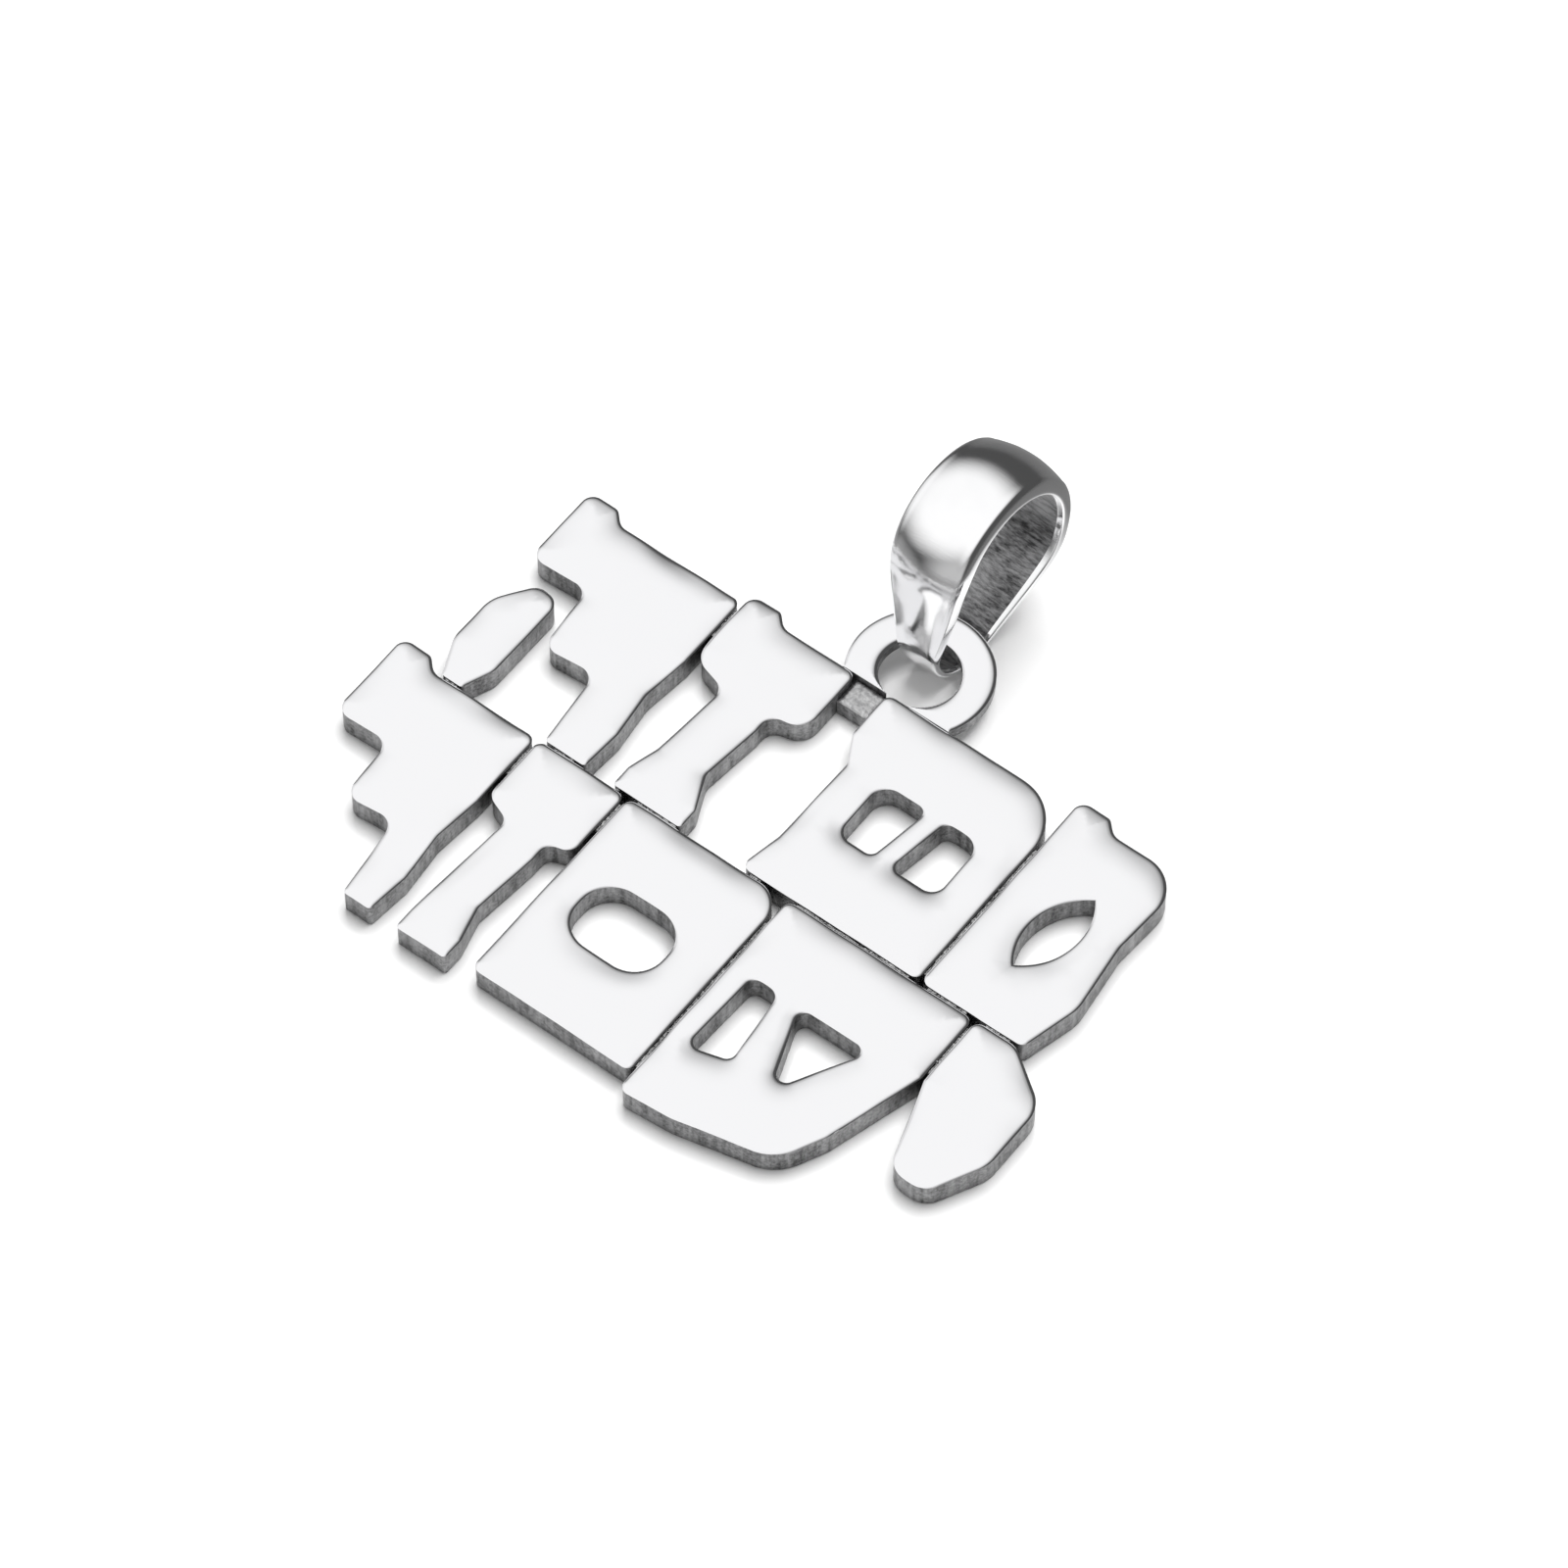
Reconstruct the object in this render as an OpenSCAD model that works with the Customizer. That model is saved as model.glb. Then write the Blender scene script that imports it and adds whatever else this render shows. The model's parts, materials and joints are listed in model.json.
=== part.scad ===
// Openwork pendant: two rows of flat polished blocks soldered edge to edge,
// a flat ring soldered to the top edge, and a tapered bail that swings on the ring.
// Millimetres. X runs along the rows, Y towards the ring, Z up from the back faces.

/* [Sheet] */
// Thickness of every block
sheet_t = 1.1; // [0.8:0.05:2]
// Width of the gap that solder fills between neighbours
seam = 0.1; // [0.06:0.01:0.2]
// How far the solder stays below the front faces
solder_recess = 0.28; // [0.1:0.02:0.5]
// Rounding of the small outer corners
corner_r = 0.3; // [0.2:0.01:0.36]
// Rounding of the bends inside a block's outline
bend_r = 0.5; // [0.35:0.05:0.6]
// Rounding of the undersides of the heads
head_r = 0.8; // [0.5:0.05:0.9]

/* [Rows] */
// Height of the upper row of blocks
upper_h = 7.7; // [6.2:0.1:9.5]
// Height of the lower row of blocks
lower_h = 7.9; // [6.4:0.1:9.8]
// How far the upper row starts to the right of the lower row
upper_shift = 1.2; // [1.0:0.1:1.6]
// Height of the solid bars along the top of the blocks
bar_h = 2.6; // [2.2:0.1:3]
// Height of the small bumps on the top corners
bump_h = 0.45; // [0.2:0.05:0.6]
// Width of the small bumps on the top corners
bump_w = 1.1; // [0.8:0.05:1.2]

/* [Upper row] */
// Width of the upper step block
upper_step_w = 6.25; // [5.2:0.05:7.6]
// Width of the stem of the upper step block
upper_stem_w = 1.85; // [1.3:0.05:2.2]
// Width of the leaf block
leaf_w = 1.8; // [1.5:0.05:1.95]
// Height of the leaf block
leaf_h = 4.4; // [3.6:0.05:4.8]
// Width of the upper baluster block
upper_baluster_w = 4.35; // [3.6:0.05:5.3]
// Width of the upper baluster's waist
upper_waist = 1.75; // [1.4:0.05:2.1]
// Width of the upper baluster's foot
upper_foot = 2.6; // [2.2:0.05:3.2]
// Length of the tie bar
tie_w = 1.2; // [0.9:0.05:1.5]
// Width of the window block
window_block_w = 6.9; // [6:0.05:8.3]
// Length of the window in the window block, over both lights
window_w = 3.7; // [3:0.05:4.4]
// Height of the window in the window block
window_h = 2.35; // [1.8:0.05:2.9]
// Width of the slanted bar between the two lights
mullion_w = 0.7; // [0.5:0.05:0.9]
// Width of the lens block
lens_block_w = 4.25; // [3.6:0.05:5.1]
// Length of the lens-shaped opening
lens_l = 3.4; // [2.8:0.05:4]
// Width of the lens-shaped opening
lens_w = 1.5; // [1.1:0.05:1.8]

/* [Lower row] */
// Width of the lower step block
lower_step_w = 5.55; // [4.7:0.05:6.7]
// Width of the stem of the lower step block
lower_stem_w = 1.5; // [1.2:0.05:1.8]
// Width of the lower baluster block
lower_baluster_w = 3.35; // [2.8:0.05:4.1]
// Width of the lower baluster's waist
lower_waist = 1.5; // [1.2:0.05:1.8]
// Width of the lower baluster's foot
lower_foot = 1.9; // [1.6:0.05:2.2]
// Width of the slot block
slot_block_w = 6; // [5:0.05:7.2]
// Length of the slot
slot_l = 3.25; // [2.6:0.05:3.8]
// Height of the slot
slot_h = 2.4; // [1.8:0.05:2.9]
// Width of the fan block
fan_w = 6.95; // [5.8:0.05:8.3]
// How far the foot of the fan block drops below the row
fan_drop = 0.45; // [0.2:0.05:0.7]
// Width of the shield block
shield_w = 3.3; // [2.8:0.05:4]

/* [Ring] */
// Radius of the ring's hole
ring_hole_r = 1.3; // [1.1:0.02:1.6]
// Width of the ring's band, seen from the front
ring_band = 1.05; // [0.8:0.01:1.15]
// Thickness of the ring
ring_t = 0.5; // [0.4:0.02:0.56]
// How far the ring's front face stays below the blocks' front faces
ring_recess = 0.05; // [0:0.01:0.2]
// How far the ring's hole is cut by the blocks' top edge
ring_cut = 0.05; // [0.02:0.01:0.15]

/* [Bail] */
// Length of the bail along its own axis
bail_l = 7.38; // [7.2:0.02:8]
// Outer radius of the bail's narrow end
bail_low_r = 1.78; // [1.7:0.02:1.9]
// Outer radius of the bail's wide end
bail_high_r = 2.8; // [2.6:0.02:3]
// Half of the bail strip's width at the narrow end
bail_low_half_w = 0.75; // [0.6:0.01:0.8]
// Half of the bail strip's width at the wide end
bail_high_half_w = 1.45; // [1.2:0.01:1.7]
// Thickness of the bail strip's edges at the narrow end
bail_low_t = 0.25; // [0.2:0.01:0.27]
// Thickness of the bail strip's edges at the wide end
bail_high_t = 0.45; // [0.3:0.01:0.6]
// Extra thickness along the middle of the bail strip
bail_crown = 0.3; // [0.1:0.01:0.4]
// Angle that the bail leans at, above the blocks
bail_lean = 59; // [54:1:60]
// Angle that the loose bail is turned about its own length
bail_yaw = 4; // [0:0.5:5]
// Angle that the loose bail is tipped sideways
bail_tip = 2; // [0:0.5:3]

/* [Hidden] */

arc_steps = 8;            // straight pieces in one rounded corner
lathe_fn = 96;            // smoothness of the ring
eps = 0.01;               // how far cutting tools run past a face
foot_r = 0.15;            // rounding of the feet that stand on a seam
bar_side = 0.64;          // share of a step block's height where its straight right side starts
lens_foot_in = 0.45;      // how far the lens block's foot stays inside its right side
lens_bulge = 0.1;         // how far the lens block's right side bulges
slot_low = 0.25;          // how far the slot block stays above its row's lower edge
tall_r = 1.0;             // rounding of the slot block's top right corner
window_r = 1.8;           // rounding of the window block's top right corner
tie_recess = 0.35;        // how far the tie bar stays below the front faces
tie_h = 1;                // height of the tie bar
shield_top = 0.45;          // share of the shield block's width where its top stays flat
ring_in = 0.3;            // how far the ring's middle lies inside the window block's left side
bail_in = 0.1;            // how far the bail sits to the left of the ring's middle
pivot_band = 0.09;        // share of the ring's band between its hole and the bail's hinge line
bail_band = 0.41;         // share of the ring's band between its hole and the bail's low centre
pivot_rise = 0.19;        // how far the hinge line lies above the middle of the ring's thickness
floor_gap = 0.066;        // how far the bail's low end would stay above the back plane, if untipped

// Left edges, worked out along each row from its first block
upper_step_x = upper_shift;
upper_baluster_x = upper_step_x + upper_step_w + seam;
tie_x = upper_baluster_x + upper_baluster_w;
window_x = tie_x + tie_w;
lens_x = window_x + window_block_w + seam;
lower_baluster_x = lower_step_w + seam;
slot_x = lower_baluster_x + lower_baluster_w + seam;
fan_x = slot_x + slot_block_w + seam;
shield_x = fan_x + fan_w + seam;
row_end = shield_x + shield_w;

// Heights of the row edges
row_y = lower_h + seam;
top_y = row_y + upper_h;
upper_bar_y = top_y - bar_h;
lower_bar_y = lower_h - bar_h;

// Middle lines and feet of the blocks that stand on the lower row
upper_stem_x = upper_step_x + upper_step_w - upper_stem_w;
upper_baluster_mid = upper_baluster_x + upper_baluster_w / 2;
leaf_foot_in = 0.33;      // share of the leaf's width where its foot starts
leaf_foot_out = 0.75;     // share of the leaf's width where its foot ends
window_foot = 0.3;        // how far the window block's foot stays inside its left side

// Ring and bail, measured from the ring's centre
ring_x = window_x + ring_in;
ring_r = ring_hole_r + ring_band;
ring_y = top_y + ring_hole_r - ring_cut;
ring_top_z = sheet_t - ring_recess;
ring_bottom_z = ring_top_z - ring_t;
pivot_y = ring_y + ring_hole_r + pivot_band * ring_band;
pivot_z = (ring_top_z + ring_bottom_z) / 2 + pivot_rise;
bail_low_y = ring_y + ring_hole_r + bail_band * ring_band;
bail_low_z = bail_low_r + floor_gap;
bail_span = bail_l - bail_low_r - bail_high_r;

// One corner [x, y, r] between its neighbours, as the points of its arc
function corner(a, b, c) =
    let(
        u = (a_xy(a) - a_xy(b)) / norm(a_xy(a) - a_xy(b)),
        v = (a_xy(c) - a_xy(b)) / norm(a_xy(c) - a_xy(b)),
        half = acos(max(-1, min(1, u * v))) / 2,
        way = (u + v) / norm(u + v),
        centre = a_xy(b) + way * b[2] / sin(half),
        from = a_xy(b) + u * b[2] / tan(half),
        to = a_xy(b) + v * b[2] / tan(half),
        a0 = atan2(from[1] - centre[1], from[0] - centre[0]),
        turn = atan2(to[1] - centre[1], to[0] - centre[0]) - a0,
        sweep = turn > 180 ? turn - 360 : turn < -180 ? turn + 360 : turn
    )
    [for (k = [0 : arc_steps])
        centre + b[2] * [cos(a0 + sweep * k / arc_steps), sin(a0 + sweep * k / arc_steps)]];
function a_xy(p) = [p[0], p[1]];

// An outline of rounded corners
function rounded(p) =
    [for (k = [0 : len(p) - 1])
        each corner(p[(k + len(p) - 1) % len(p)], p[k], p[(k + 1) % len(p)])];

// A pointed oval from [0, 0] to [0, l], as two arcs
function lens(l, w) =
    let(
        r = (l * l / 4 + w * w / 4) / w,
        half = asin(l / 2 / r)
    )
    concat(
        [for (k = [0 : 2 * arc_steps])
            [w / 2 - r + r * cos(half * (k / arc_steps - 1)), l / 2 + r * sin(half * (k / arc_steps - 1))]],
        [for (k = [1 : 2 * arc_steps - 1])
            [r - w / 2 - r * cos(half * (1 - k / arc_steps)), l / 2 + r * sin(half * (1 - k / arc_steps))]]
    );

// Corners of a block with a bar on top, a step below it and a stem at the right
function step_outline(w, h, stem, bar, wave, taper) =
    let(step = (w - stem) * 0.5)
    [
        [w - stem + taper, 0, foot_r],
        [w - taper / 2, 0, foot_r],
        [w, h * 0.2, 3 * corner_r],
        [w - wave, h * 0.42, 4 * corner_r],
        [w, h * bar_side, 2 * corner_r],
        [w, h, corner_r],
        each left_bump(h, bump_h),
        [0, h - bar, bend_r],
        [step, h - bar + wave / 2, bend_r],
        [step + wave, h * 0.35, bend_r],
        [w - stem - wave / 2, h * 0.37, bend_r]
    ];

// Corners of a block with a rounded head, a narrow wavy waist and a small foot
function baluster_outline(w, h, waist, foot, bar, bump) =
    let(
        mid = w / 2,
        wave = 0.12,
        overhang = (w - waist) / 2 - wave,
        under_r = min(head_r, 0.65 * overhang),
        neck_r = min(bend_r, 0.5 * overhang)
    )
    [
        [mid - foot / 2, 0, foot_r],
        [mid + foot / 2, 0, foot_r],
        [mid + foot / 2, h * 0.1, corner_r],
        [mid + waist / 2 - wave, h * 0.26, bend_r],
        [mid + waist / 2 + wave, h - bar - 0.9, neck_r],
        [mid + waist / 2 + wave, h - bar - 0.2, neck_r],
        [w, h - bar, under_r],
        [w, h, corner_r],
        each bump > 0 ? left_bump(h, bump) : [[0, h, corner_r]],
        [0, h - bar + wave, under_r],
        [mid - waist / 2 + wave, h - bar - 0.3, neck_r],
        [mid - waist / 2 - wave, h * 0.24, bend_r],
        [mid - foot / 2, h * 0.1, corner_r]
    ];

// Corners of the small bump on a block's top left corner
function left_bump(h, bump) =
    [
        [bump_w + bump, h, bend_r],
        [bump_w, h + bump, corner_r],
        [0, h + bump, corner_r + 0.1]
    ];

// Moves plate coordinates to the pendant's own frame
module placed() {
    translate([-middle[0], -middle[1], 0]) children();
}

// A flat block of the given corners, with its lower left corner at [x, y]
module block(x, y, corners) {
    placed() translate([x, y, 0]) linear_extrude(sheet_t) polygon(rounded(corners));
}

// Cuts right through a block
module cut_at(x, y) {
    placed() translate([x, y, -eps]) linear_extrude(sheet_t + 2 * eps) children();
}

module upper_step_block() {
    color("silver")
        block(upper_step_x, row_y,
            step_outline(upper_step_w, upper_h, upper_stem_w, bar_h, 0.2, 0.2));
}

module leaf_block() {
    corners = [
        [leaf_foot_in * leaf_w, 0, foot_r],
        [leaf_foot_out * leaf_w, 0, foot_r],
        [leaf_w, 0.25 * leaf_h, 0.9],
        [leaf_w, 0.98 * leaf_h, 0.5],
        [0.5 * leaf_w, leaf_h, 0.5],
        [0, 0.7 * leaf_h, 1.2],
        [0, 0.3 * leaf_h, 1.2]
    ];
    color("silver") block(upper_step_x, row_y, corners);
}

module upper_baluster_block() {
    color("silver")
        block(upper_baluster_x, row_y,
            baluster_outline(upper_baluster_w, upper_h, upper_waist, upper_foot, bar_h, bump_h));
}

module tie_bar() {
    color("darkgray") placed()
        translate([tie_x, top_y - tie_h, 0]) cube([tie_w, tie_h, sheet_t - tie_recess]);
}

module window_block() {
    inner_w = window_block_w - window_foot;
    light_w = (window_w - mullion_w) / 2;
    slant = 0.2;
    corners = [
        [window_foot - 0.1, 0, corner_r],
        [window_block_w, 0, corner_r],
        [window_block_w, upper_h, window_r],
        [0, upper_h, corner_r],
        [0, upper_h - bar_h + 0.8, bend_r],
        [window_foot + 0.25, upper_h - bar_h - 0.2, bend_r],
        [window_foot + 0.2, upper_h * 0.2, 2 * bend_r]
    ];
    color("silver") difference() {
        block(window_x, row_y, corners);
        cut_at(window_x + window_foot + (inner_w - window_w) / 2 + 0.1, row_y + (upper_h - window_h) / 2) {
            polygon(rounded([
                [0, 0, bend_r],
                [light_w - slant, 0, corner_r],
                [light_w + slant, window_h, corner_r],
                [0, window_h, bend_r + 0.1]
            ]));
            polygon(rounded([
                [light_w + mullion_w - slant, 0, corner_r],
                [window_w, 0, bend_r],
                [window_w, window_h, bend_r + 0.1],
                [light_w + mullion_w + slant, window_h, corner_r]
            ]));
        }
    }
}

module lens_block() {
    corners = [
        [0, 0, corner_r],
        [lens_block_w - lens_foot_in, 0, corner_r],
        [lens_block_w + lens_bulge, upper_h * 0.27, 2 * head_r],
        [lens_block_w - 0.2, upper_h * 0.6, 2 * head_r],
        [lens_block_w, upper_h, head_r + bend_r],
        each left_bump(upper_h, bump_h)
    ];
    color("silver") difference() {
        block(lens_x, row_y, corners);
        cut_at(lens_x + 0.44 * lens_block_w, row_y + (upper_h - lens_l) / 2)
            rotate(-10) polygon(lens(lens_l, lens_w));
    }
}

module lower_step_block() {
    color("silver")
        block(0, 0,
            step_outline(lower_step_w, lower_h, lower_stem_w, bar_h + 0.3, 0.16, 0.3));
}

module lower_baluster_block() {
    color("silver")
        block(lower_baluster_x, 0,
            baluster_outline(lower_baluster_w, lower_h, lower_waist, lower_foot, bar_h, 0));
}

module slot_block() {
    corners = [
        [0, slot_low, corner_r],
        [slot_block_w, slot_low, corner_r],
        [slot_block_w, lower_h, tall_r],
        [0, lower_h, corner_r]
    ];
    color("silver") difference() {
        block(slot_x, 0, corners);
        cut_at(slot_x + (slot_block_w - slot_l) * 0.42, (lower_h + slot_low - slot_h) / 2)
            polygon(rounded([
                [0, 0, slot_h * 0.45],
                [slot_l, 0, slot_h * 0.45],
                [slot_l, slot_h, slot_h * 0.45],
                [0, slot_h, slot_h * 0.45]
            ]));
    }
}

module fan_block() {
    base_y = 2;
    light_h = lower_bar_y - base_y - 0.2;
    corners = [
        [0, -fan_drop, corner_r],
        [0.27 * fan_w, 0.15 - fan_drop, 2],
        [0.75 * fan_w, 0.9 - fan_drop, 1.6],
        [0.86 * fan_w, base_y, 1.2],
        [fan_w, lower_bar_y, corner_r],
        [fan_w, lower_h, corner_r],
        [0, lower_h, corner_r]
    ];
    color("silver") difference() {
        block(fan_x, 0, corners);
        cut_at(fan_x + 0.1 * fan_w, base_y)
            polygon(rounded([
                [0, 0, corner_r],
                [0.2 * fan_w, 0.12 * light_h, corner_r],
                [0.16 * fan_w, light_h, corner_r + 0.1],
                [0.02 * fan_w, light_h, corner_r]
            ]));
        cut_at(fan_x + 0.37 * fan_w, base_y + 0.3)
            polygon(rounded([
                [0.15 * fan_w, 0, corner_r],
                [0.38 * fan_w, light_h - 0.3, corner_r],
                [0, light_h - 0.3, corner_r]
            ]));
    }
}

module shield_block() {
    corners = [
        [0, lower_bar_y, foot_r],
        [0.3 * shield_w, lower_h * 0.28, 0.8],
        [0.7 * shield_w, lower_h * 0.28, 0.8],
        [shield_w, lower_h * 0.52, 1.4],
        [shield_w, lower_h * 0.84, 1.1],
        [shield_top * shield_w, lower_h, 1],
        [0, lower_h, corner_r]
    ];
    color("silver") block(shield_x, 0, corners);
}

// Solder between the two rows, from x0 to x1
module row_strip(x0, x1) {
    placed() translate([x0, lower_h, 0]) cube([x1 - x0, seam, sheet_t - solder_recess]);
}

// Solder between two neighbours in a row, from y0 to y1, with its left face at x
module column_strip(x, y0, y1) {
    placed() translate([x, y0, 0]) cube([seam, y1 - y0, sheet_t - solder_recess]);
}

// Where each upper block stands flat, and where each lower block's top is flat
upper_feet = [
    [upper_step_x + leaf_foot_in * leaf_w + foot_r, upper_step_x + leaf_foot_out * leaf_w - foot_r],
    [upper_stem_x + 2 * corner_r, upper_baluster_x - 2 * corner_r],
    [upper_baluster_mid - upper_foot / 2 + foot_r, upper_baluster_mid + upper_foot / 2 - foot_r],
    [window_x + window_foot + corner_r, lens_x - seam - corner_r],
    [lens_x + corner_r, lens_x + lens_block_w - lens_foot_in - corner_r]
];
lower_tops = [
    [bump_w + bump_h + bend_r / 2, lower_step_w - corner_r],
    [lower_baluster_x + corner_r, slot_x - seam - corner_r],
    [slot_x + corner_r, fan_x - seam - tall_r],
    [fan_x + corner_r, shield_x - seam - corner_r],
    [shield_x + corner_r, shield_x + shield_top * shield_w - corner_r]
];

module row_solder() {
    color("gray")
        for (foot = upper_feet, top = lower_tops) {
            x0 = max(foot[0], top[0]);
            x1 = min(foot[1], top[1]);
            if (x1 > x0) row_strip(x0, x1);
        }
}

module column_solder() {
    color("gray") {
        column_strip(upper_baluster_x - seam, upper_bar_y + head_r + corner_r, top_y - corner_r);
        column_strip(lens_x - seam, row_y + corner_r, top_y - window_r);
        column_strip(lower_baluster_x - seam, lower_bar_y + head_r + corner_r, lower_h - corner_r);
        column_strip(slot_x - seam, lower_bar_y + head_r + corner_r, lower_h - corner_r);
        column_strip(fan_x - seam, slot_low + corner_r, lower_h - tall_r);
        column_strip(shield_x - seam, lower_bar_y + corner_r, lower_h - corner_r);
    }
}

module hanging_ring() {
    color("silver") placed() translate([ring_x, ring_y, ring_bottom_z]) difference() {
        cylinder(h = ring_t, r = ring_r, $fn = lathe_fn);
        translate([0, 0, -eps]) cylinder(h = ring_t + 2 * eps, r = ring_hole_r, $fn = lathe_fn);
        translate([-ring_r - eps, top_y - ring_y - 2 * ring_r, -eps])
            cube([2 * ring_r + 2 * eps, 2 * ring_r, ring_t + 2 * eps]);
    }
}

// Fillets of solder under the two feet of the ring, against the blocks' edge
module ring_solder() {
    leg = 0.3;
    foot_out = sqrt(pow(ring_r, 2) - pow(ring_y - top_y, 2));
    foot_in = sqrt(pow(ring_hole_r, 2) - pow(ring_y - top_y - leg, 2));
    color("gray") placed()
        for (x = [ring_x - foot_out + 0.15, ring_x + foot_in + 0.05])
            translate([x, top_y, ring_bottom_z])
                rotate([90, 0, 90])
                    linear_extrude(foot_out - foot_in - 0.2)
                        polygon([[0, 0], [0, -leg], [leg, 0]]);
}

// Angle of the bail's straight sides to its axis
bail_side = asin((bail_high_r - bail_low_r) / bail_span);

// Outer edge line of the bail strip: [along, outer radius there, direction of the outward normal]
function arc_stations(along, r, a0, a1, n) =
    [for (k = [0 : n]) [along, r, a0 + (a1 - a0) * k / n]];
function side_stations(a, n) =
    [for (k = [1 : n - 1])
        let(low = a > 0 ? 1 - k / n : k / n)
        [low * bail_span, bail_low_r + (bail_high_r - bail_low_r) * low, a]];
bail_turn = 90 + bail_side;
bail_stations = concat(
    arc_stations(0, bail_low_r, bail_turn, 360 - bail_turn, 20),
    side_stations(-bail_turn, 8),
    arc_stations(bail_span, bail_high_r, -bail_turn, bail_turn, 36),
    side_stations(bail_turn, 8)
);

// 0 at the narrow end of the bail, 1 from about its middle to the wide end
rise_start = 0.38;        // how far from the narrow end's tip the strip stays narrow
rise_share = 0.62;        // share of the bail's length over which the strip widens
rise_power = 0.8;         // how early the widening comes
function bail_rise(along) =
    let(f = pow(max(0, min(1, (along + bail_low_r - rise_start) / (rise_share * bail_l))), rise_power))
    f * f * (3 - 2 * f);

// One section across the strip: the crowned outside, then the flat inside
bail_across = 8;
function bail_point(s, x, out) = [x, s[0] + (s[1] + out) * cos(s[2]), (s[1] + out) * sin(s[2])];
function bail_section(s) =
    let(
        rise = bail_rise(s[0] + s[1] * cos(s[2])),
        half_w = bail_low_half_w + (bail_high_half_w - bail_low_half_w) * rise,
        t = bail_low_t + (bail_high_t - bail_low_t) * rise
    )
    concat(
        [for (j = [0 : bail_across])
            let(v = 2 * j / bail_across - 1)
            bail_point(s, v * half_w, bail_crown * rise * (1 - v * v))],
        [for (j = [bail_across : -1 : 0])
            let(v = 2 * j / bail_across - 1)
            bail_point(s, v * half_w, -t)]
    );
bail_sections = [for (s = bail_stations) bail_section(s)];

// How far along Y the leaning bail reaches from its low centre
function reach_y(p) =
    let(
        x = p[0] * cos(bail_yaw) - p[2] * sin(bail_yaw),
        z = p[0] * sin(bail_yaw) + p[2] * cos(bail_yaw),
        y = x * sin(bail_tip) + p[1] * cos(bail_tip)
    )
    y * cos(bail_lean) - z * sin(bail_lean);
bail_far_y = bail_low_y + max([for (section = bail_sections, p = section) reach_y(p)]);

// Middle of the whole pendant's box, which is set over the origin
middle = [row_end / 2, (bail_far_y - fan_drop) / 2];

module bail() {
    n = len(bail_sections);
    m = len(bail_sections[0]);
    points = [for (section = bail_sections) each section];
    faces = [for (i = [0 : n - 1], j = [0 : m - 1], half = [0, 1])
        let(
            a = i * m + j,
            b = i * m + (j + 1) % m,
            c = ((i + 1) % n) * m + (j + 1) % m,
            d = ((i + 1) % n) * m + j
        )
        half == 0 ? [a, c, b] : [a, d, c]];
    color("silver") placed()
        translate([ring_x - bail_in, bail_low_y, bail_low_z])
            rotate([bail_lean, 0, 0]) rotate([0, 0, bail_tip]) rotate([0, -bail_yaw, 0])
                polyhedron(points, faces);
}

upper_step_block();
leaf_block();
upper_baluster_block();
tie_bar();
window_block();
lens_block();
lower_step_block();
lower_baluster_block();
slot_block();
fan_block();
shield_block();
row_solder();
column_solder();
hanging_ring();
ring_solder();
bail();
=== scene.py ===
import json
import math
import random

import bmesh
import bpy
import numpy as np
from bpy.props import FloatProperty, FloatVectorProperty, PointerProperty
from mathutils import Matrix, Vector, noise
from mathutils.geometry import delaunay_2d_cdt
from mathutils.kdtree import KDTree


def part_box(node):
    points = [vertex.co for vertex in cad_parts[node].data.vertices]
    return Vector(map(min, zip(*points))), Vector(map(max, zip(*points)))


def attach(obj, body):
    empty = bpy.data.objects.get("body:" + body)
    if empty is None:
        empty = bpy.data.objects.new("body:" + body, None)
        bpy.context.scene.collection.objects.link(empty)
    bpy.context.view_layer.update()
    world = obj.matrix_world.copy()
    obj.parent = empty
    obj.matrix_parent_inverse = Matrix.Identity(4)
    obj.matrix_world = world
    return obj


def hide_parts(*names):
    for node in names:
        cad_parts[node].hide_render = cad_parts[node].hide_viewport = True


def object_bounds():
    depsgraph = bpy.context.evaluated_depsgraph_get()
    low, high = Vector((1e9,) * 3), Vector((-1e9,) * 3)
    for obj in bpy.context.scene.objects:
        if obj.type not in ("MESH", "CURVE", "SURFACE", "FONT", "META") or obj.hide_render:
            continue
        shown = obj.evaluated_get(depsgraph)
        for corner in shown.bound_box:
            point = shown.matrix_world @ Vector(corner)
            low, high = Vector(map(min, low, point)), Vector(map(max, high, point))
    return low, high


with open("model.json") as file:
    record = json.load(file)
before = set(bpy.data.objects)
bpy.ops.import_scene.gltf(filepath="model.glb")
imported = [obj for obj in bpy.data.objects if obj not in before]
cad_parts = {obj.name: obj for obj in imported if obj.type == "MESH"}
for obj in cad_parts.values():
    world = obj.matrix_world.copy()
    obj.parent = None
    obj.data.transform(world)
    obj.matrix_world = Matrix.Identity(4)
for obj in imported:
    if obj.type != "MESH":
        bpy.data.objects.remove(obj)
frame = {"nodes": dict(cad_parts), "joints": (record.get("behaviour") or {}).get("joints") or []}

bl_info = {
    "name": "Openwork Pendant",
    "version": (1, 0, 0),
    "blender": (4, 5, 0),
    "location": "3D View > Sidebar > Pendant",
    "description": "Polished openwork pendant of soldered blocks with a ring and a tapered bail",
    "category": "Add Mesh",
}

CAD_BOX = [list(corner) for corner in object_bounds()]
MM = 0.001
BLOCKS = (
    "upper_step_block",
    "leaf_block",
    "upper_baluster_block",
    "window_block",
    "lens_block",
    "lower_step_block",
    "lower_baluster_block",
    "slot_block",
    "fan_block",
    "shield_block",
)
SOLDER_NODES = ("row_solder", "column_solder", "ring_solder")
PIVOT = Vector(frame["joints"][0]["pos_m"])

# Outlines, in millimetres: shorter edges are dropped, and edges up to the facet length are parts of a curve
CRUMB_EDGE = 0.012
FACET_EDGE = 0.5
OUTLINE_INSET = 0.004
TIP_REACH = 0.6
SHARP_COSINE = math.cos(math.radians(30))
TIP_COSINE = math.cos(math.radians(60))

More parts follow.
